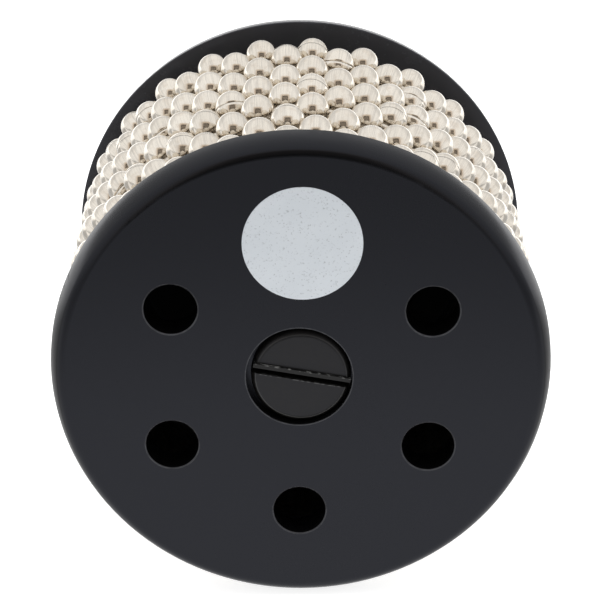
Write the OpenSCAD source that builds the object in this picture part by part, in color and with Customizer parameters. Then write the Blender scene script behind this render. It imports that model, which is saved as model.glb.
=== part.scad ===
// Cabasa: a steel drum between two moulded end plates, wrapped in endless loops of ball chain,
// on a turned wooden handle whose shank runs through the drum and is wedged in the front plate.
// Millimetres. +Y runs along the drum's axis from the front plate to the handle, +Z is up, and the
// origin lies under the middle of the length, on the surface that the two plates rest on.

/* [Drum body] */

// Outside to outside over both end plates
body_length = 75; // [66:0.5:100]
// Diameter of the two end plates
plate_diameter = 90; // [88:0.5:110]
// Thickness of each end plate
plate_thickness = 5.8; // [5.2:0.1:9]
// Large rounding of a plate's outward edge
plate_outer_round = 3.5; // [1:0.1:5]
// Small rounding of a plate's inward edge
plate_inner_round = 0.6; // [0.2:0.05:0.7]
// Outside diameter of the rolled sheet drum
drum_diameter = 75.6; // [66:0.2:77]
// Sheet thickness of the drum
drum_wall = 0.8; // [0.4:0.1:1.6]

/* [Plate details] */

// Diameter of the five sound holes
sound_hole_diameter = 9.5; // [4:0.1:11]
// Diameter of the circle that the sound holes lie on
sound_circle_diameter = 53.3; // [50:0.1:56]
// Turn of the front plate about the axis, clockwise from the front, in degrees
plate_turn = 0.97; // [-10:0.01:10]
// Bevel around every sound hole
hole_bevel = 0.2; // [0.1:0.05:0.8]
// Diameter of the round recess that shows around the shank's end
recess_diameter = 19.05; // [18.6:0.05:22]
// Depth of that recess
recess_depth = 3; // [1:0.1:4]
// How far the recess sits off the axis to the right
recess_shift = -0.32; // [-0.35:0.01:0.35]
// How far the recess sits off the axis upwards
recess_rise = 0.4; // [-0.4:0.01:0.4]
// Wall of the hub that carries a plate on the shank
hub_wall = 3; // [1.5:0.1:5]
// Length of the hub behind the plate
hub_length = 9; // [4:0.5:20]
// Height of the ring that centres the drum sheet
locating_ring_height = 3.5; // [1.5:0.5:8]
// Wall of the ring that centres the drum sheet
locating_ring_wall = 2; // [1:0.1:4]

/* [Front roundel] */

// Diameter of the plain foil disc on the front plate
roundel_diameter = 21.1; // [10:0.1:22]
// Distance of its centre from the axis
roundel_offset = 26; // [25:0.1:28]
// Thickness of the foil disc
roundel_thickness = 0.4; // [0.2:0.05:1.2]

/* [Ball chain] */

// Diameter of each hollow bead
bead_diameter = 6.35; // [5:0.05:6.5]
// Wall of a bead
bead_wall = 0.45; // [0.3:0.05:0.7]
// Diameter of the two holes in a bead
bead_hole_diameter = 1.5; // [1.3:0.05:1.7]
// Wire diameter of a link
link_wire_diameter = 1.2; // [0.8:0.05:1.3]
// Diameter of the round heads on a link's ends
link_head_diameter = 1.9; // [1.8:0.05:2.2]
// Beads in one endless loop
beads_per_loop = 26; // [22:1:28]
// Slide of the far loops towards the front on the right, in degrees
far_lean = 3.8; // [0:0.1:4.5]

/* [Handle] */

// Diameter of the shank inside the drum
shank_diameter = 17.86; // [14:0.02:18]
// Rounding of the shank's front end
shank_round = 1.2; // [0.3:0.1:2]
// How far the shank's end stays behind the front plate's face
shank_setback = 1; // [0.5:0.1:1.5]
// Length of the grip behind the rear plate
grip_length = 100; // [80:1:110]
// Diameter of the collar that meets the rear plate
collar_diameter = 26; // [23:0.5:30]
// Narrowest diameter of the neck
neck_diameter = 22; // [18:0.5:25]
// Largest diameter of the grip
grip_diameter = 30; // [26:0.5:33]
// Diameter at the start of the rounded butt
butt_diameter = 25; // [22:0.5:28]

/* [Wedge] */

// Width of the saw kerf in the shank's end
kerf_width = 2.05; // [1.2:0.05:2.4]
// How far the middle of the kerf lies above the shank's axis
kerf_offset = 0.27; // [0:0.01:0.8]
// Depth of the saw kerf
kerf_depth = 22; // [14:1:30]
// Turn of the kerf, clockwise from the front, in degrees
kerf_turn = 10.4; // [-90:0.1:90]
// Thickness of the wedge at its wide end
wedge_thickness = 0.75; // [0.6:0.05:1.15]
// Thickness of the wedge at its thin end
wedge_tip = 0.4; // [0.2:0.05:0.6]
// Length of the wedge
wedge_length = 17; // [8:1:21]
// How far the wedge's end stays behind the front plate's face
wedge_setback = 0.5; // [0:0.1:1.5]

/* [Hidden] */

$fn = 96;

// Clearances and overruns
overrun = 1;
shank_clearance = 0.05;
ring_clearance = 0.05;
drum_to_bead = 0.3;
bead_to_plate = 0.225;
bead_to_bead = 0.06;
head_to_hole = 0.03;
wedge_side_clearance = 0.05;
roundel_side_clearance = 0.05;
roundel_sink = 0.02;

// Radii
plate_r = plate_diameter / 2;
drum_r = drum_diameter / 2;
drum_bore_r = drum_r - drum_wall;
recess_r = recess_diameter / 2;
shank_r = shank_diameter / 2;
shank_bore_r = shank_r + shank_clearance;
hub_r = recess_r + hub_wall;
ring_r = drum_bore_r - ring_clearance;
bead_r = bead_diameter / 2;
bead_bore_r = bead_r - bead_wall;
bead_hole_r = bead_hole_diameter / 2;
wire_r = link_wire_diameter / 2;
head_r = link_head_diameter / 2;

// The loops: beads on a circle just off the drum, a link along each chord between two beads
loop_r = drum_r + drum_to_bead + bead_r;
bead_step = 360 / beads_per_loop;
chord = 2 * loop_r * sin(bead_step / 2);
// a head rests in the rim of its bead's hole, this far from the bead's centre
hole_rim_depth = sqrt(pow(bead_bore_r, 2) - pow(bead_hole_r, 2));
head_seat = hole_rim_depth - sqrt(pow(head_r, 2) - pow(bead_hole_r, 2)) - head_to_hole;
link_span = chord - 2 * head_seat;

// Loops are numbered from the handle's end. Every second loop is half a step round, so that
// neighbours nest; lean is the loop's slant and turn its start, clockwise from the front.
loop_count = 10;
lean_shares = [1, 1, 1, 1, 1, 1, 1, 0.84, 0.5, 0];
loop_turns = [3.8, 3.8, 3.5, 3.5, 3.4, 3.4, 3.4, 4.1, 4.1, 4.1];
// how the slack along the drum is spread: behind the first loop, then between neighbours
slack_shares = [0.255, 0.005, 0.187, 0.11, 0.085, 0.083, 0.11, 0.105, 0.05, 0.01];

function lean(i) = far_lean * lean_shares[i];
function slide(i) = loop_r * sin(lean(i));
// least distance between the middles of neighbours i and i + 1 that keeps their beads apart;
// gap_chord runs between the two nearest beads, seen along the drum
function turn_gap(i) = bead_step / 2 - abs(loop_turns[i] - loop_turns[i + 1]);
function gap_chord(i) = 2 * loop_r * sin(turn_gap(i) / 2);
function nest(i) = gap_chord(i) * sin(lean(i)) + sqrt(
    pow(bead_diameter + bead_to_bead, 2) - pow(gap_chord(i) * cos(lean(i)), 2)
) + slide(i) - slide(i + 1);
function nest_sum(i, to) = i >= to ? 0 : nest(i) + nest_sum(i + 1, to);
function share_sum(i) = i < 0 ? 0 : slack_shares[i] + share_sum(i - 1);

first_loop_limit = body_length - plate_thickness - bead_to_plate - bead_r - slide(0);
last_loop_place = plate_thickness + bead_to_plate + bead_r;
slack = first_loop_limit - last_loop_place - nest_sum(0, loop_count - 1);
function loop_place(i) = first_loop_limit - nest_sum(0, i) - slack * share_sum(i);

// The grip's outline: shares of the grip's length, each with the diameter there
butt_round = butt_diameter / 2 * 0.72;
neck_share = 0.16;
swell_share = 0.56;
collar_length_share = 0.035;
collar_round = 1.2;
outline_steps = 14;

total_length = body_length + grip_length;
middle = total_length / 2;

// Shared helpers
module from_origin() {
    translate([0, -middle, plate_r]) children();
}

// revolves a drawing of radius against distance behind the front face
module turned() {
    rotate([-90, 0, 0]) rotate_extrude() children();
}

// straight round piece along the axis, starting at a distance behind the front face
module rod(start, length, radius) {
    translate([0, start, 0]) rotate([-90, 0, 0]) cylinder(h = length, r = radius);
}

// what is cut off a square corner to round it, with the corner at the origin
module corner_cut(r) {
    difference() {
        translate([-r, -overrun]) square([r + overrun, r + overrun]);
        translate([-r, r]) circle(r);
    }
}

// repeats its children round the axis at the five sound hole places, clockwise from the top
module at_sound_holes() {
    for (place = [1 : 5])
        rotate([0, plate_turn + 360 / 6 * place, 0])
            translate([0, 0, sound_circle_diameter / 2]) children();
}

// one end plate, with its outward face at zero and its hub pointing back; its children are
// what else is cut out of it
module plate() {
    difference() {
        union() {
            turned() difference() {
                square([plate_r, plate_thickness]);
                translate([plate_r, 0]) corner_cut(plate_outer_round);
                translate([plate_r, plate_thickness]) mirror([0, 1]) corner_cut(plate_inner_round);
            }
            rod(plate_thickness - plate_inner_round, hub_length + plate_inner_round, hub_r);
            difference() {
                rod(plate_thickness - plate_inner_round,
                    locating_ring_height + plate_inner_round, ring_r);
                rod(plate_thickness - overrun, locating_ring_height + 2 * overrun,
                    ring_r - locating_ring_wall);
            }
        }
        rod(-overrun, plate_thickness + hub_length + 2 * overrun, shank_bore_r);
        children();
    }
}

// puts its children at the roundel's place on the front plate
module at_roundel() {
    rotate([0, plate_turn, 0]) translate([0, 0, roundel_offset]) children();
}

module front_plate() {
    color([0.13, 0.13, 0.14]) plate() {
        translate([recess_shift, 0, recess_rise])
            rod(-overrun, recess_depth + overrun, recess_r);
        at_roundel()
            rod(-overrun, overrun + roundel_sink + roundel_thickness,
                roundel_diameter / 2 + roundel_side_clearance);
        at_sound_holes() {
            rod(-overrun, plate_thickness + 2 * overrun, sound_hole_diameter / 2);
            translate([0, -overrun, 0]) rotate([-90, 0, 0])
                cylinder(h = hole_bevel + overrun,
                         r1 = sound_hole_diameter / 2 + hole_bevel + overrun,
                         r2 = sound_hole_diameter / 2);
        }
    }
}

module rear_plate() {
    color([0.13, 0.13, 0.14]) translate([0, body_length, 0]) mirror([0, 1, 0]) plate();
}

module drum_shell() {
    color([0.62, 0.62, 0.63]) turned()
        translate([drum_bore_r, plate_thickness])
            square([drum_wall, body_length - 2 * plate_thickness]);
}

// plain disc, let into its seat just below the plate's face
module front_roundel() {
    color([0.8, 0.82, 0.84]) at_roundel()
        rod(roundel_sink, roundel_thickness, roundel_diameter / 2);
}

// eases from one value to another
function eased(a, b, t) = a + (b - a) * (1 - cos(180 * t)) / 2;

// radius of the grip at a share of its length
function grip_radius(s) =
    s < neck_share ? eased(collar_diameter, neck_diameter, s / neck_share) / 2
    : s < swell_share
        ? eased(neck_diameter, grip_diameter, (s - neck_share) / (swell_share - neck_share)) / 2
        : eased(grip_diameter, butt_diameter, (s - swell_share) / (1 - swell_share)) / 2;

// the grip's outline from the rear plate to the start of the rounded butt
butt_start_share = 1 - butt_round / grip_length;
butt_r = grip_radius(butt_start_share);
grip_points = [
    for (k = [0 : 2 * outline_steps])
        let (s = collar_length_share
                 + (butt_start_share - collar_length_share) * k / (2 * outline_steps))
            [grip_radius(s), body_length + grip_length * s]
];
// the butt is a quarter of an ellipse, as deep as the butt's rounding
butt_points = [
    for (k = [1 : outline_steps])
        let (t = 90 * k / outline_steps)
            [butt_r * cos(t), body_length + grip_length - butt_round * (1 - sin(t))]
];

module handle() {
    color([0.06, 0.05, 0.05]) difference() {
        union() {
            turned() translate([0, shank_setback]) difference() {
                square([shank_r, body_length + overrun - shank_setback]);
                translate([shank_r, 0]) corner_cut(shank_round);
            }
            turned() polygon(concat(
                [[0, body_length], [grip_radius(0) - collar_round, body_length],
                 [grip_radius(0), body_length + collar_round]],
                grip_points, butt_points));
        }
        rotate([0, kerf_turn, 0])
            translate([-shank_r - overrun, shank_setback - overrun, kerf_offset - kerf_width / 2])
                cube([2 * (shank_r + overrun), kerf_depth + overrun, kerf_width]);
    }
}

// steel wedge, driven in along the kerf's upper side
module handle_wedge() {
    kerf_top = kerf_offset + kerf_width / 2;
    half_width = sqrt(pow(shank_r, 2) - pow(kerf_top, 2)) - wedge_side_clearance;
    color([0.3, 0.3, 0.31]) rotate([0, kerf_turn, 0])
        translate([-half_width, wedge_setback, kerf_top])
            rotate([90, 0, 90]) linear_extrude(height = 2 * half_width)
                polygon([[0, 0], [wedge_length, 0], [wedge_length, -wedge_tip],
                         [0, -wedge_thickness]]);
}

// points its children's +Z along the chord to the next bead clockwise
module along_chord() {
    rotate([0, 90 + bead_step / 2, 0]) children();
}

// a ball whose poles and seam stay clear of the holes along the chain
module turned_ball(r) {
    rotate([90, 0, 0]) rotate([0, 0, 90]) sphere(r = r);
}

module bead() {
    difference() {
        turned_ball(bead_r);
        turned_ball(bead_bore_r);
        along_chord() cylinder(h = bead_diameter, r = bead_hole_r);
        mirror([1, 0, 0]) along_chord() cylinder(h = bead_diameter, r = bead_hole_r);
    }
}

// a link: one wire between two round heads
module link() {
    cylinder(h = link_span, r = wire_r, center = true);
    for (end = [-1, 1]) translate([0, 0, end * link_span / 2]) sphere(r = head_r);
}

module at_loop(i) {
    translate([0, loop_place(i), 0]) rotate([0, 0, -lean(i)])
        rotate([0, loop_turns[i] + (i % 2) * bead_step / 2, 0]) children();
}

module bead_loop(i) {
    color([0.86, 0.84, 0.8]) at_loop(i)
        for (k = [0 : beads_per_loop - 1])
            rotate([0, k * bead_step, 0]) translate([0, 0, loop_r]) bead();
}

module chain_links(i) {
    color([0.72, 0.7, 0.66]) at_loop(i)
        for (k = [0 : beads_per_loop - 1])
            rotate([0, (k + 1 / 2) * bead_step, 0])
                translate([0, 0, loop_r * cos(bead_step / 2)]) rotate([0, 90, 0]) link();
}

from_origin() {
    front_plate();
    rear_plate();
    drum_shell();
    front_roundel();
    handle();
    handle_wedge();
    bead_loop(0);  // bead_loop_01
    bead_loop(1);  // bead_loop_02
    bead_loop(2);  // bead_loop_03
    bead_loop(3);  // bead_loop_04
    bead_loop(4);  // bead_loop_05
    bead_loop(5);  // bead_loop_06
    bead_loop(6);  // bead_loop_07
    bead_loop(7);  // bead_loop_08
    bead_loop(8);  // bead_loop_09
    bead_loop(9);  // bead_loop_10
    chain_links(0);  // chain_links_01
    chain_links(1);  // chain_links_02
    chain_links(2);  // chain_links_03
    chain_links(3);  // chain_links_04
    chain_links(4);  // chain_links_05
    chain_links(5);  // chain_links_06
    chain_links(6);  // chain_links_07
    chain_links(7);  // chain_links_08
    chain_links(8);  // chain_links_09
    chain_links(9);  // chain_links_10
}
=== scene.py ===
"""A cabasa seen from its front plate: black end plates, a steel drum under loops of ball chain,
and a black handle whose wedged end shows in the middle of the front plate."""
import math
import random

import bpy
import numpy as np
from mathutils import Matrix, Vector


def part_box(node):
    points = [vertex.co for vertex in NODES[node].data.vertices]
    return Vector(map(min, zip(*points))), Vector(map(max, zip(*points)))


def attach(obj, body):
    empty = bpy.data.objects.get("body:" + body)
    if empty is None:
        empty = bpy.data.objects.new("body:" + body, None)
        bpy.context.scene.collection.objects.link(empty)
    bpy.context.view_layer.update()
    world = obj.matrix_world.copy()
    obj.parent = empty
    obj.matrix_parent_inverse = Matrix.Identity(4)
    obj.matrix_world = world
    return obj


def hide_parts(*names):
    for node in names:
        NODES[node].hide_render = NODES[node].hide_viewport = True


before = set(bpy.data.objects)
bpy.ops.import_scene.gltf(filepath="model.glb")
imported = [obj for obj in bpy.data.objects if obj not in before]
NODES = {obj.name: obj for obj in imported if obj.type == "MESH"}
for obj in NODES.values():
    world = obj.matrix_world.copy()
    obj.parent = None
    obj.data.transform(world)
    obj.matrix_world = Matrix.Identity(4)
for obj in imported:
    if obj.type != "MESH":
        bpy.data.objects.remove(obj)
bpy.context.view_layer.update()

# Places and sizes, in metres and radians

MM = 0.001
plate_low, plate_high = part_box("front_plate")
FRONT = plate_low.y                              # the front plate's face
AXIS = (plate_low.z + plate_high.z) / 2          # height of the drum's axis
LOOPS = 10
BEADS = 26                                       # in each loop

# The front plate's openings: five holes at sixths of a circle, with the roundel at the top place
PLATE_TURN = math.radians(0.97)
HALF_SIXTH = math.radians(30)
HOLE_CIRCLE = 26.65 * MM
HOLE_EDGE = 4.87 * MM                            # radius of the painted highlight along a hole's edge
RECESS_X, RECESS_Z = -0.32 * MM, 0.4 * MM        # the recess's middle, from the axis
RECESS_EDGE = 9.60 * MM                          # radius of the painted highlight along the recess's edge

# The shank's end, with its saw kerf and wedge
SHANK_RING = 8.15 * MM                           # radius of the painted highlight ring on the shank's end
HIGHLIGHT_DEPTH = 1.5 * MM                            # behind the face, where the painted highlights there stop
KERF_TURN = math.radians(10.4)
KERF_LIP = -0.83 * MM                            # place of its lower lip, across the kerf
KERF_LIP_HALF = 7.2 * MM                         # half the lip's length
WEDGE_EDGE = 1.14 * MM                           # where the painted highlight on the wedge's upper edge starts
BROWN_FROM, BROWN_FULL = 80 * MM, 110 * MM       # behind the face, where brown grain comes in

DRUM_R = 37.8 * MM

# Node trees


class Nodes:
    """A small helper that builds the node tree of a material or of the world."""

    def __init__(self, owner):
        owner.use_nodes = True
        self.owner = owner
        self.tree = owner.node_tree
        self.shader = self.tree.nodes.get("Principled BSDF")

    def feed(self, socket, value):
        """Links a socket to another node's output, or sets it to a plain value."""
        if isinstance(value, bpy.types.NodeSocket):
            self.tree.links.new(value, socket)
        else:
            socket.default_value = value

    def add(self, kind, **values):
        """A new node. The values go to its properties, or else to its inputs."""
        node = self.tree.nodes.new(kind)
        for key, value in values.items():
            if key in node.bl_rna.properties:
                setattr(node, key, value)
            else:
                self.feed(node.inputs[key.replace("_", " ")], value)
        return node

    def set(self, **values):
        """Feeds the surface shader."""
        for key, value in values.items():
            self.feed(self.shader.inputs[key.replace("_", " ")], value)

    def split(self, vector):
        """The x, y and z of a vector."""
        return tuple(self.add("ShaderNodeSeparateXYZ", Vector=vector).outputs)

    def join(self, x, y, z=0.0):
        return self.add("ShaderNodeCombineXYZ", X=x, Y=y, Z=z).outputs["Vector"]

    def place(self, stretch=(1, 1, 1), shift=(0, 0, 0)):
        """Object coordinates, stretched and shifted."""
        coords = self.add("ShaderNodeTexCoord").outputs["Object"]
        node = self.add("ShaderNodeMapping", Vector=coords, Scale=stretch, Location=shift)
        return node.outputs["Vector"]

    def noise(self, vector, scale, detail=2.0, rough=0.5):
        node = self.add("ShaderNodeTexNoise", Vector=vector, Scale=scale, Detail=detail,
                        Roughness=rough)
        return node.outputs["Fac"]

    def ramp(self, value, low, high, start=0.0, end=1.0):
        """Maps value from low..high to start..end, clamped."""
        node = self.add("ShaderNodeMapRange", Value=value, From_Min=low, From_Max=high,
                        To_Min=start, To_Max=end)
        return node.outputs["Result"]

    def math(self, operation, *values):
        node = self.add("ShaderNodeMath", operation=operation)
        for socket, value in zip(node.inputs, values):
            self.feed(socket, value)
        return node.outputs["Value"]

    def blend(self, a, b, share_of_a):
        """Two levels added, each with its share."""
        return self.math("ADD", self.math("MULTIPLY", a, share_of_a),
                         self.math("MULTIPLY", b, 1 - share_of_a))

    def mix(self, factor, a, b):
        """Two colours mixed."""
        node = self.add("ShaderNodeMix", data_type="RGBA")
        for index, value in ((0, factor), (6, a), (7, b)):
            self.feed(node.inputs[index], value)
        return node.outputs[2]

    def mix_levels(self, factor, a, b):
        """Two numbers mixed."""
        node = self.add("ShaderNodeMix", data_type="FLOAT")
        for index, value in ((0, factor), (2, a), (3, b)):
            self.feed(node.inputs[index], value)
        return node.outputs[0]

    def mix_shaders(self, factor, a, b):
        node = self.add("ShaderNodeMixShader")
        for socket, value in zip(node.inputs, (factor, a, b)):
            self.feed(socket, value)
        return node.outputs[0]

    def bump(self, height, strength, distance, below=None):
        """A bump, on top of another one where there is one below."""
        node = self.add("ShaderNodeBump", Height=height, Strength=strength, Distance=distance)
        if below is not None:
            self.feed(node.inputs["Normal"], below)
        return node.outputs["Normal"]

    def length(self, a, b):
        return self.math("SQRT", self.math("ADD", self.math("MULTIPLY", a, a),
                                           self.math("MULTIPLY", b, b)))

    def line(self, value, middle, half, soft):
        """One where value is within half of middle, fading to zero over soft."""
        off = self.math("ABSOLUTE", self.math("SUBTRACT", value, middle))
        return self.ramp(off, half, half + soft, 1.0, 0.0)

    def front_view(self, x=0.0, z=0.0):
        """Distances right of and above a point near the drum's axis, and behind the face."""
        own_x, own_y, own_z = self.split(self.add("ShaderNodeTexCoord").outputs["Object"])
        return (self.math("SUBTRACT", own_x, x),
                self.math("SUBTRACT", own_z, AXIS + z),
                self.math("SUBTRACT", own_y, FRONT))

    def along_kerf(self):
        """Distances along and across the kerf, from the axis."""
        x, z, _ = self.front_view()
        c, s = math.cos(KERF_TURN), math.sin(KERF_TURN)
        along = self.math("SUBTRACT", self.math("MULTIPLY", x, c), self.math("MULTIPLY", z, s))
        across = self.math("ADD", self.math("MULTIPLY", x, s), self.math("MULTIPLY", z, c))
        return along, across


def new_material(name):
    return Nodes(bpy.data.materials.new(name))


def rgb(r, g, b):
    return (r, g, b, 1.0)


# Materials


def opening_edge_highlights(m):
    """Mask of the painted highlights along the thin edges of the front plate's holes and of its
    recess.
    """
    x, z, behind = m.front_view()
    angle = m.math("SUBTRACT", m.math("ARCTAN2", x, z), PLATE_TURN)
    folded = m.math("WRAP", angle, HALF_SIXTH, -HALF_SIXTH)
    radius = m.length(x, z)
    outward = m.math("SUBTRACT", m.math("MULTIPLY", radius, m.math("COSINE", folded)),
                     HOLE_CIRCLE)
    sideways = m.math("MULTIPLY", radius, m.math("SINE", folded))
    rim = m.line(m.length(outward, sideways), HOLE_EDGE, 0.07 * MM, 0.08 * MM)
    x, z, _ = m.front_view(RECESS_X, RECESS_Z)
    recess = m.line(m.length(x, z), RECESS_EDGE, 0.06 * MM, 0.08 * MM)
    front = m.ramp(behind, 0.2 * MM, 0.3 * MM, 1.0, 0.0)
    return m.math("MULTIPLY", m.math("MAXIMUM", rim, recess), front)


def black_plastic(name, dark, light, edges=False):
    """Satin moulded plastic; its colour drifts between a dark and a light grey level."""
    m = new_material(name)
    where = m.place()
    cloud = m.noise(where, 38.0, 3.0)
    grain = m.noise(where, 3800.0, 3.0, 0.6)
    fine = m.noise(where, 900.0, 2.0)
    base = m.mix(cloud, rgb(dark, dark, 1.08 * dark), rgb(light, light, 1.08 * light))
    if edges:
        # painted highlight: lighter grey along the holes' and the recess's thin edges, broken by
        # fine noise
        painted_highlight = m.math("MULTIPLY", opening_edge_highlights(m), m.ramp(fine, 0.3, 0.6, 0.5, 1.0))
        base = m.mix(painted_highlight, base, rgb(0.068, 0.068, 0.071))
    m.set(Base_Color=base,
          Roughness=m.ramp(m.blend(cloud, fine, 0.6), 0.3, 0.7, 0.22, 0.29),
          IOR=1.46, Specular_IOR_Level=0.345, Specular_Tint=rgb(0.81, 0.843, 1.0),
          Normal=m.bump(grain, 0.12, 0.02 * MM, m.bump(fine, 0.06, 0.03 * MM)))
    return m.owner


def drum_steel():
    """Rolled sheet with small embossed pips in rows."""
    m = new_material("embossed drum sheet")
    coords = m.place()
    x, y, z = m.split(coords)
    angle = m.math("ARCTAN2", x, m.math("SUBTRACT", z, AXIS))
    pips = m.add("ShaderNodeTexVoronoi", Vector=m.join(m.math("MULTIPLY", angle, DRUM_R), y),
                 Scale=520.0, Randomness=0.15)
    raised = m.ramp(pips.outputs["Distance"], 0.1, 0.42, 1.0, 0.0)
    cloud = m.noise(coords, 60.0, 3.0)
    m.set(Base_Color=m.mix(cloud, rgb(0.56, 0.52, 0.47), rgb(0.68, 0.64, 0.58)),
          Metallic=1.0,
          Roughness=m.ramp(cloud, 0.3, 0.7, 0.28, 0.42),
          Normal=m.bump(raised, 0.8, 0.3 * MM))
    return m.owner


def bead_metal():
    """Bright plated balls: fine rings round the chain's line, faint tarnish and a pressed seam."""
    m = new_material("plated bead metal")
    seam = m.add("ShaderNodeAttribute", attribute_name="seam").outputs["Fac"]
    tone = m.add("ShaderNodeAttribute", attribute_name="tone").outputs["Fac"]
    around, along, _ = m.split(m.add("ShaderNodeUVMap", uv_map="wrap").outputs["UV"])
    wrap = m.join(m.math("MULTIPLY", around, 2.5), m.math("MULTIPLY", along, 30.0),
                  m.math("MULTIPLY", tone, 60.0))
    rings = m.noise(wrap, 1.0, 4.0, 0.7)
    cloud = m.noise(m.place(), 330.0, 3.0)
    dull = m.noise(m.place((1, 1, 1), (3, 1, 2)), 700.0, 2.0)
    base = m.mix(m.ramp(m.blend(cloud, tone, 0.6), 0.3, 0.7),
                 rgb(0.79, 0.732, 0.645), rgb(0.85, 0.792, 0.705))
    base = m.mix(m.ramp(dull, 0.52, 0.7, 0.0, 0.35), base, rgb(0.60, 0.50, 0.40))
    base = m.mix(m.ramp(rings, 0.46, 0.66, 0.0, 0.5), base, rgb(0.50, 0.47, 0.43))
    base = m.mix(seam, base, rgb(0.05, 0.04, 0.035))
    m.set(Base_Color=base, Metallic=1.0,
          Roughness=m.ramp(rings, 0.3, 0.7, 0.10, 0.20),
          Normal=m.bump(rings, 0.22, 0.03 * MM))
    return m.owner


def link_metal():
    """Plated wire, a little duller than the beads."""
    m = new_material("plated link wire")
    cloud = m.noise(m.place(), 900.0, 3.0)
    m.set(Base_Color=m.mix(cloud, rgb(0.60, 0.54, 0.46), rgb(0.76, 0.70, 0.62)),
          Metallic=1.0, Roughness=m.ramp(cloud, 0.3, 0.7, 0.2, 0.34),
          Normal=m.bump(cloud, 0.2, 0.03 * MM))
    return m.owner


def lacquered_wood():
    """Black lacquer over turned wood. The long grain just telegraphs through, and shows brown on
    the grip. The shank's end has a painted highlight ring, strongest at the bottom, and a broken
    painted highlight along the kerf's lower lip."""
    m = new_material("black lacquered wood")
    grain = m.noise(m.place((900.0, 26.0, 900.0)), 1.0, 4.0, 0.6)
    pores = m.noise(m.place((2600.0, 120.0, 2600.0)), 1.0, 2.0, 0.5)
    cloud = m.noise(m.place(), 30.0, 2.0)
    streaks = m.blend(cloud, grain, 0.5)
    x, z, behind = m.front_view()
    front = m.ramp(behind, HIGHLIGHT_DEPTH, HIGHLIGHT_DEPTH + 0.2 * MM, 1.0, 0.0)
    # painted highlight: a thin ring on the shank's end, strongest at the bottom
    ring = m.math("MULTIPLY", m.line(m.length(x, z), SHANK_RING, 0.05 * MM, 0.08 * MM),
                  m.ramp(z, -4 * MM, 2 * MM, 1.0, 0.3))
    along, across = m.along_kerf()
    # painted highlight along the kerf's lower lip, broken into dashes by noise
    lip = m.math("MULTIPLY", m.line(across, KERF_LIP, 0.06 * MM, 0.05 * MM),
                 m.line(along, 0.0, KERF_LIP_HALF, 0.3 * MM))
    highlight_breaks = m.ramp(m.noise(m.place((1, 1, 1), (5, 2, 1)), 1500.0, 2.0), 0.42, 0.6)
    painted_highlight = m.math("MULTIPLY", front, m.math("MAXIMUM", ring, m.math("MULTIPLY", lip, highlight_breaks)))
    base = m.mix(grain, rgb(0.0085, 0.0082, 0.008), rgb(0.015, 0.014, 0.013))
    held = m.math("MULTIPLY", m.ramp(behind, BROWN_FROM, BROWN_FULL),
                  m.ramp(streaks, 0.46, 0.62))
    base = m.mix(held, base, rgb(0.042, 0.026, 0.017))
    m.set(Base_Color=m.mix(painted_highlight, base, rgb(0.11, 0.11, 0.108)),
          Roughness=m.ramp(streaks, 0.3, 0.7, 0.3, 0.42),
          IOR=1.46, Specular_IOR_Level=0.32, Specular_Tint=rgb(0.88, 0.90, 1.0),
          Normal=m.bump(grain, 0.25, 0.08 * MM, m.bump(pores, 0.2, 0.05 * MM)))
    return m.owner


def wedge_metal():
    """Blackened steel, with a broken painted highlight along the wedge's upper edge."""
    m = new_material("blackened wedge steel")
    grain = m.noise(m.place((400.0, 3000.0, 400.0)), 1.0, 3.0)
    _, across = m.along_kerf()
    # painted highlight along the wedge's upper edge, broken into dashes by noise
    highlight_breaks = m.ramp(m.noise(m.place((1, 1, 1), (1, 4, 2)), 1300.0, 2.0), 0.5, 0.62)
    painted_highlight = m.math("MULTIPLY", highlight_breaks, m.ramp(across, WEDGE_EDGE, WEDGE_EDGE + 0.08 * MM))
    base = m.mix(grain, rgb(0.006, 0.006, 0.0062), rgb(0.014, 0.014, 0.0145))
    m.set(Base_Color=m.mix(painted_highlight, base, rgb(0.2, 0.2, 0.195)),
          Roughness=m.ramp(grain, 0.3, 0.7, 0.3, 0.42), IOR=1.46, Specular_IOR_Level=0.3,
          Normal=m.bump(grain, 0.3, 0.04 * MM))
    return m.owner


def roundel_foil():
    """Plain silver foil with fine dark speckle."""
    m = new_material("speckled silver foil")
    where = m.place()
    speck = m.noise(where, 2600.0, 2.0, 0.6)
    cloud = m.noise(where, 160.0, 3.0)
    base = m.mix(cloud, rgb(0.74, 0.79, 0.84), rgb(0.83, 0.875, 0.92))
    base = m.mix(m.ramp(speck, 0.6, 0.74, 0.0, 0.5), base, rgb(0.2, 0.22, 0.24))
    m.set(Base_Color=base, Metallic=0.35, Roughness=m.ramp(speck, 0.3, 0.7, 0.38, 0.5),
          Normal=m.bump(speck, 0.2, 0.03 * MM))
    return m.owner


def give(obj, material):
    obj.data.materials.clear()
    obj.data.materials.append(material)


PLASTIC = black_plastic("moulded black plastic", 0.0022, 0.0036, edges=True)
# Painted light: the rear plate gets a lighter copy of the same plastic
LIGHTER_PAINTED_PLASTIC = black_plastic("moulded black plastic painted lighter", 0.034, 0.046)
BEAD, LINK = bead_metal(), link_metal()

give(NODES["drum_shell"], drum_steel())
give(NODES["front_roundel"], roundel_foil())
give(NODES["handle"], lacquered_wood())
give(NODES["handle_wedge"], wedge_metal())
for loop in range(1, LOOPS + 1):
    give(NODES[f"chain_links_{loop:02d}"], LINK)


def new_object(name, data):
    obj = bpy.data.objects.new(name, data)
    bpy.context.scene.collection.objects.link(obj)
    return obj


# End plates

PLATE_R = 45 * MM
CAD_ROUND, CAD_INNER, CAD_THICK = 3.5 * MM, 0.6 * MM, 5.8 * MM
RIM_TIGHT, RIM_CROWN = 2.0 * MM, 9.3 * MM     # radii of the rim's tight turn and of its crown
RIM_TURN = math.radians(60)                   # where the one gives way to the other
INNER_ROUND, THICK = 0.3 * MM, 6.0 * MM
NEAR = 0.005 * MM                             # a point this near to a limit counts as on it


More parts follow.
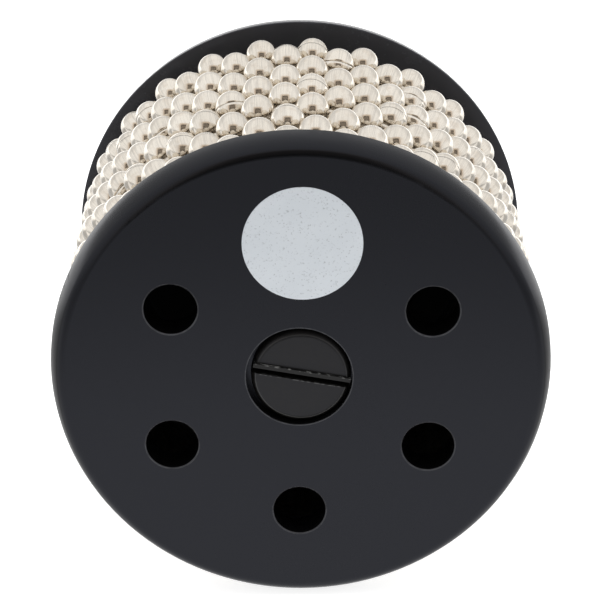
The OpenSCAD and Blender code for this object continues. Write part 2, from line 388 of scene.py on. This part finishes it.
def outer_rim(turn):
    """Radius and depth on the outer rim, which turns from 0 at the face to 90 degrees."""
    tight = np.minimum(turn, RIM_TURN)
    start = PLATE_R - RIM_TIGHT * math.sin(RIM_TURN) - RIM_CROWN * (1 - math.sin(RIM_TURN))
    radius = start + RIM_TIGHT * np.sin(tight) + RIM_CROWN * (np.sin(turn) - np.sin(tight))
    depth = RIM_TIGHT * (1 - np.cos(tight)) + RIM_CROWN * (np.cos(tight) - np.cos(turn))
    return radius, depth


def inner_rim(turn):
    """The same on the inner rim, which turns from 0 at the side to 90 degrees."""
    return PLATE_R - INNER_ROUND * (1 - np.cos(turn)), THICK - INNER_ROUND * (1 - np.sin(turn))


def moulding(name, node, face, way, material):
    """An end plate with its rim's own outline: a tight turn from the outer face into a long
    crown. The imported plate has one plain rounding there. Depth runs from the outer face
    inwards, and way is its direction along the axis."""
    mesh = node.data.copy()
    points = np.empty(3 * len(mesh.vertices))
    mesh.vertices.foreach_get("co", points)
    points = points.reshape(-1, 3)
    normals = np.empty(3 * len(mesh.loops))
    mesh.corner_normals.foreach_get("vector", normals)
    x, z = points[:, 0], points[:, 2] - AXIS
    radius, depth = np.hypot(x, z), (points[:, 1] - face) * way
    outer = (radius > PLATE_R - CAD_ROUND - NEAR) & (depth < CAD_ROUND + NEAR)
    outer_radius, outer_depth = outer_rim(
        np.arctan2(radius - (PLATE_R - CAD_ROUND), CAD_ROUND - depth))
    inner = (radius > PLATE_R - CAD_INNER - NEAR) & (depth > CAD_THICK - CAD_INNER - NEAR)
    inner_radius, inner_depth = inner_rim(
        np.arctan2(depth - (CAD_THICK - CAD_INNER), radius - (PLATE_R - CAD_INNER)))
    inside = np.abs(depth - CAD_THICK) < NEAR
    new_radius = np.where(outer, outer_radius, np.where(inner, inner_radius, radius))
    new_depth = np.where(outer, outer_depth,
                         np.where(inner, inner_depth, np.where(inside, THICK, depth)))
    scale = new_radius / np.maximum(radius, NEAR)
    points = np.stack([x * scale, face + way * new_depth, z * scale + AXIS], axis=1)
    mesh.vertices.foreach_set("co", points.reshape(-1))
    mesh.update()
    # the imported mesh's normals stay, so its round surfaces still shade as round ones
    mesh.normals_split_custom_set(normals.reshape(-1, 3))
    obj = new_object(name, mesh)
    give(obj, material)
    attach(obj, "body")
    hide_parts(node.name)


moulding("front_moulding", NODES["front_plate"], FRONT, 1, PLASTIC)
moulding("rear_moulding", NODES["rear_plate"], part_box("rear_plate")[1].y, -1, LIGHTER_PAINTED_PLASTIC)

# Beads

BEAD_R = 3.175 * MM
LOOP_R = 41.275 * MM                # from the drum's axis to the beads' middles
HOLE_R = 0.75 * MM
STEP = 2 * math.pi / BEADS
# by loop, from the rear one to the front one, in degrees
LEANS = [3.8 * share for share in [1.0] * 7 + [0.84, 0.5, 0.0]]
TURNS = [3.8, 3.8, 3.5, 3.5, 3.4, 3.4, 3.4, 4.1, 4.1, 4.1]

ALONG = 25                          # rings on a bead's outside, from one hole to the other
AROUND = 36                         # points on a ring, apart from the seam's three
SEAM_HALF = 0.020                   # half the seam's width, as a turn round the bead
SEAM_DEPTH = 0.09 * MM
SEAM_CLEAR = 0.16                   # the turn from the seam to the first of those points
# a hole's lip, by the depth behind its edge and the share of HOLE_R
LIP = ((0.50 * MM, 1.0), (0.12 * MM, 1.0), (0.01 * MM, 1.05))


def bead_rings():
    """The bead's outline from one hole to the other: distance along the chord and radius."""
    first = math.asin(1.14 * HOLE_R / BEAD_R)
    outer = [(BEAD_R * math.cos(t), BEAD_R * math.sin(t))
             for t in np.linspace(first, math.pi - first, ALONG)]
    edge = BEAD_R * math.cos(first)
    lip = [(edge - depth, share * HOLE_R) for depth, share in LIP]
    return [*lip, *outer, *[(-x, r) for x, r in reversed(lip)]]


def bead_template():
    """Points of one bead as (along, azimuth, radius), faces, seam mask and wrap coordinates."""
    rings = bead_rings()
    full = 2 * math.pi
    turns = [0.0, SEAM_HALF, *np.linspace(SEAM_CLEAR, full - SEAM_CLEAR, AROUND),
             full - SEAM_HALF]
    points, seam, wrap = [], [], []
    for n, (along, radius) in enumerate(rings):
        on_outside = len(LIP) <= n < len(rings) - len(LIP)
        for t in turns:
            in_seam = t == 0.0
            scale = 1 - SEAM_DEPTH / BEAD_R if in_seam and on_outside else 1.0
            points.append((along * scale, t, radius * scale))
            seam.append(1.0 if in_seam else 0.0)
            wrap.append((t / full, n / (len(rings) - 1)))
    count = len(turns)
    faces = []
    for n in range(len(rings) - 1):
        for k in range(count):
            a, b = n * count + k, n * count + (k + 1) % count
            faces.append((a, b, b + count, a + count))
    return np.array(points), faces, np.array(seam), np.array(wrap)


def bend_to_neighbours(local):
    """Turns both ends of a bead in, along the chords to its neighbours, and lifts it to the
    loop's radius."""
    turn = STEP / 2 * local[:, 0] / BEAD_R
    x = local[:, 0] * np.cos(turn) + local[:, 2] * np.sin(turn)
    z = local[:, 2] * np.cos(turn) - local[:, 0] * np.sin(turn)
    return np.stack([x, local[:, 1], z + LOOP_R], axis=1)


def wrap_coordinates(mesh, wrap):
    """Gives each face corner its place in the wrap, which runs on past the first turn instead
    of jumping back."""
    corner = np.empty(len(mesh.loops), np.int32)
    mesh.loops.foreach_get("vertex_index", corner)
    places = wrap[corner]
    around = places[:, 0].reshape(-1, 4)
    jump = (around.max(1) - around.min(1)) > 0.5
    around[jump] = np.where(around[jump] < 0.5, around[jump] + 1, around[jump])
    places[:, 0] = around.reshape(-1)
    layer = mesh.uv_layers.new(name="wrap")
    layer.data.foreach_set("uv", places.astype(np.float32).reshape(-1))


def bead_loop(index, template, rng):
    """All the beads of one loop as one mesh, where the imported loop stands."""
    points, faces, seam, wrap = template
    along, azimuth, radius = points.T
    node = NODES[f"bead_loop_{index + 1:02d}"]
    low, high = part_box(node.name)
    middle = Matrix.Translation((0, (low.y + high.y) / 2, AXIS))
    lean = Matrix.Rotation(-math.radians(LEANS[index]), 4, "Z")
    start = math.radians(TURNS[index]) + (index % 2) * STEP / 2
    vertices, all_faces, tones = [], [], []
    for k in range(BEADS):
        roll = rng.uniform(0, 2 * math.pi)
        local = bend_to_neighbours(np.stack([along, radius * np.cos(azimuth + roll),
                                             radius * np.sin(azimuth + roll)], axis=1))
        place = np.array(middle @ lean @ Matrix.Rotation(start + k * STEP, 4, "Y"))
        vertices.append(local @ place[:3, :3].T + place[:3, 3])
        all_faces += [tuple(len(points) * k + v for v in face) for face in faces]
        tones.append(np.full(len(points), rng.random()))
    name = f"beads_{index + 1:02d}"
    mesh = bpy.data.meshes.new(name)
    mesh.from_pydata([tuple(v) for v in np.concatenate(vertices)], [], all_faces)
    mesh.validate()
    mesh.update()
    mesh.shade_smooth()
    for kind, values in (("seam", np.tile(seam, BEADS)), ("tone", np.concatenate(tones))):
        attribute = mesh.attributes.new(kind, "FLOAT", "POINT")
        attribute.data.foreach_set("value", values.astype(np.float32))
    wrap_coordinates(mesh, np.tile(wrap, (BEADS, 1)))
    obj = new_object(name, mesh)
    give(obj, BEAD)
    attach(obj, "bead_sleeve")
    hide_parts(node.name)


rng = random.Random(7)
template = bead_template()
for index in range(LOOPS):
    bead_loop(index, template, rng)

# Table and light

TABLE = 12.0
TENT_DISTANCE = 0.5                 # from the front plate to the tent's opening
TENT_ELEVATION = math.radians(19)
OPENING_TARGET = Vector((0, FRONT, AXIS + 0.02))
OPENING_MIDDLE = OPENING_TARGET + TENT_DISTANCE * Vector((0, -math.cos(TENT_ELEVATION),
                                                          math.sin(TENT_ELEVATION)))
OPENING_HALF_WIDTH, OPENING_HALF_RISE = 0.19, 0.25
SURROUND = (1.1, 0.8)               # width and height of the card round the opening


def plane(name, size, centre, toward, material):
    """A flat card centred at a point and facing another."""
    x, y = size[0] / 2, size[1] / 2
    mesh = bpy.data.meshes.new(name)
    mesh.from_pydata([(-x, -y, 0), (x, -y, 0), (x, y, 0), (-x, y, 0)], [], [(0, 1, 2, 3)])
    obj = new_object(name, mesh)
    give(obj, material)
    look = (Vector(toward) - Vector(centre)).to_track_quat("Z", "Y")
    obj.matrix_world = Matrix.Translation(centre) @ look.to_matrix().to_4x4()
    return obj


def floor_material():
    """White table. What the object mirrors of it is a painted reflection, a glow that only glossy
    rays see. It is darker beside and under the object as a painted shadow, and falls off to the
    sides and towards the camera."""
    m = new_material("white table")
    cloud = m.noise(m.place(), 9.0, 3.0)
    m.set(Base_Color=m.mix(cloud, rgb(0.80, 0.80, 0.80), rgb(0.84, 0.84, 0.835)),
          Roughness=0.6)
    x, y, _ = m.split(m.add("ShaderNodeNewGeometry").outputs["Position"])
    ahead = m.ramp(y, FRONT - 0.19, FRONT - 0.08, 0.76, 1.42)
    beside = m.math("MAXIMUM", m.ramp(y, FRONT, FRONT + 0.014, 1.0, 0.52),
                    m.ramp(y, FRONT + 0.13, FRONT + 0.24, 0.52, 1.3))
    aside = m.ramp(m.math("ABSOLUTE", x), 0.05, 0.14, 1.0, 0.75)
    level = m.math("MULTIPLY", m.math("MULTIPLY", ahead, beside), aside)
    mirrored = m.add("ShaderNodeEmission", Strength=level)
    glow = m.add("ShaderNodeEmission", Strength=0.8)
    lit = m.shader.outputs[0]
    seen = m.add("ShaderNodeAddShader")
    m.feed(seen.inputs[0], lit)
    m.feed(seen.inputs[1], glow.outputs[0])
    path = m.add("ShaderNodeLightPath").outputs
    clear = m.math("MAXIMUM", path["Is Camera Ray"], path["Is Transmission Ray"])
    plain = m.mix_shaders(clear, lit, seen.outputs[0])
    surface = m.mix_shaders(path["Is Glossy Ray"], plain, mirrored.outputs[0])
    m.feed(m.tree.nodes["Material Output"].inputs["Surface"], surface)
    return m.owner


def opening_material():
    """A painted reflection of the tent's dark opening, on a card hidden from the camera: black at
    its foot, a dim brown glow higher up, in a glowing surround that goes from warm to white
    outwards."""
    m = new_material("painted reflection of a dark opening in its surround")
    m.set(Base_Color=rgb(0.01, 0.01, 0.01), Roughness=0.9)
    x, _, z = m.split(m.add("ShaderNodeNewGeometry").outputs["Position"])
    side = m.math("DIVIDE", m.math("ABSOLUTE", x), OPENING_HALF_WIDTH)
    rise = m.math("DIVIDE", m.math("SUBTRACT", z, OPENING_MIDDLE.z), OPENING_HALF_RISE)
    reach = m.math("MAXIMUM", side, m.math("ABSOLUTE", rise))
    outside = m.ramp(reach, 0.97, 1.03)
    dim = m.math("MULTIPLY", m.ramp(rise, -0.3, 0.3, 0.03, 0.22),
                 m.ramp(reach, 0.66, 0.78, 1.0, 0.25))
    surround = m.ramp(reach, 1.05, 2.1, 0.62, 0.97)
    m.set(Emission_Strength=m.mix_levels(outside, dim, surround),
          Emission_Color=m.mix(m.ramp(reach, 1.05, 1.9), rgb(1.0, 0.83, 0.67),
                               rgb(1.0, 0.98, 0.96)))
    return m.owner


def white_tent():
    """White all round. In reflections it is brightest low down behind the object, and a little
    brighter again high up there."""
    m = Nodes(bpy.data.worlds.new("white tent"))
    path = m.add("ShaderNodeLightPath").outputs
    _, y, z = m.split(m.add("ShaderNodeTexCoord").outputs["Generated"])
    behind = m.math("ADD", m.ramp(z, 0.04, 0.14, 2.0, 0.82), m.ramp(z, 0.45, 0.75, 0.0, 0.2))
    mirrored = m.mix_levels(m.ramp(y, 0.0, 0.35), 1.02, behind)
    seen = m.mix_levels(path["Is Camera Ray"], 0.55, 1.0)
    background = m.tree.nodes["Background"]
    m.feed(background.inputs["Strength"], m.mix_levels(path["Is Glossy Ray"], seen, mirrored))
    m.feed(background.inputs["Color"], rgb(1, 1, 1))
    return m.owner


def soft_box(name, size, watts, centre, target):
    """A square area lamp that faces a point and isn't mirrored in anything."""
    data = bpy.data.lights.new(name, "AREA")
    data.shape = "RECTANGLE"
    data.size = data.size_y = size
    data.energy = watts
    obj = new_object(name, data)
    obj.location = centre
    obj.rotation_euler = (Vector(target) - Vector(centre)).to_track_quat("-Z", "Y").to_euler()
    obj.visible_glossy = False


plane("table", (TABLE, TABLE), (0, 0, 0), (0, 0, 1), floor_material())
bpy.context.scene.world = white_tent()
soft_box("overhead soft box", 0.9, 5.0, (0, 0.05, 0.95), (0, -0.03, 0.05))

# The opening, behind the camera, shows as a small dark square in every bead and as a dark line
# along the front plate's upper edge
opening = plane("tent opening", SURROUND, OPENING_MIDDLE, OPENING_TARGET, opening_material())
opening.visible_camera = False
opening.visible_diffuse = False
opening.visible_shadow = False

# Camera, fitted to the plates' outlines and the beads in the photograph

DISTANCE = 0.39762                  # from the middle of the front plate's face
ELEVATION = math.radians(25.950)
OFF_X, OFF_Y, ROLL = (math.radians(a) for a in (2.029, 0.026, 0.451))
SENSOR_MM, LENS_MM = 36.0, 133.99


def photo_camera():
    """Looks at the middle of the front plate's face, then turns off it and rolls."""
    at = Vector((0, -DISTANCE * math.cos(ELEVATION), DISTANCE * math.sin(ELEVATION)))
    forward = -at.normalized()
    right = forward.cross(Vector((0, 0, 1))).normalized()
    up = right.cross(forward)
    off = (Matrix.Rotation(OFF_X, 3, "X") @ Matrix.Rotation(OFF_Y, 3, "Y")
           @ Matrix.Rotation(ROLL, 3, "Z"))
    rows = off @ Matrix((right, up, forward))
    lens = bpy.data.cameras.new("camera")
    lens.sensor_width = SENSOR_MM
    lens.lens = LENS_MM
    lens.clip_start = 0.01
    camera = new_object("camera", lens)
    pose = Matrix((rows[0], rows[1], -rows[2])).transposed().to_4x4()
    pose.translation = at + Vector((0, FRONT, AXIS))
    camera.matrix_world = pose
    return camera


bpy.context.scene.camera = photo_camera()
bpy.context.scene.view_settings.view_transform = "Standard"
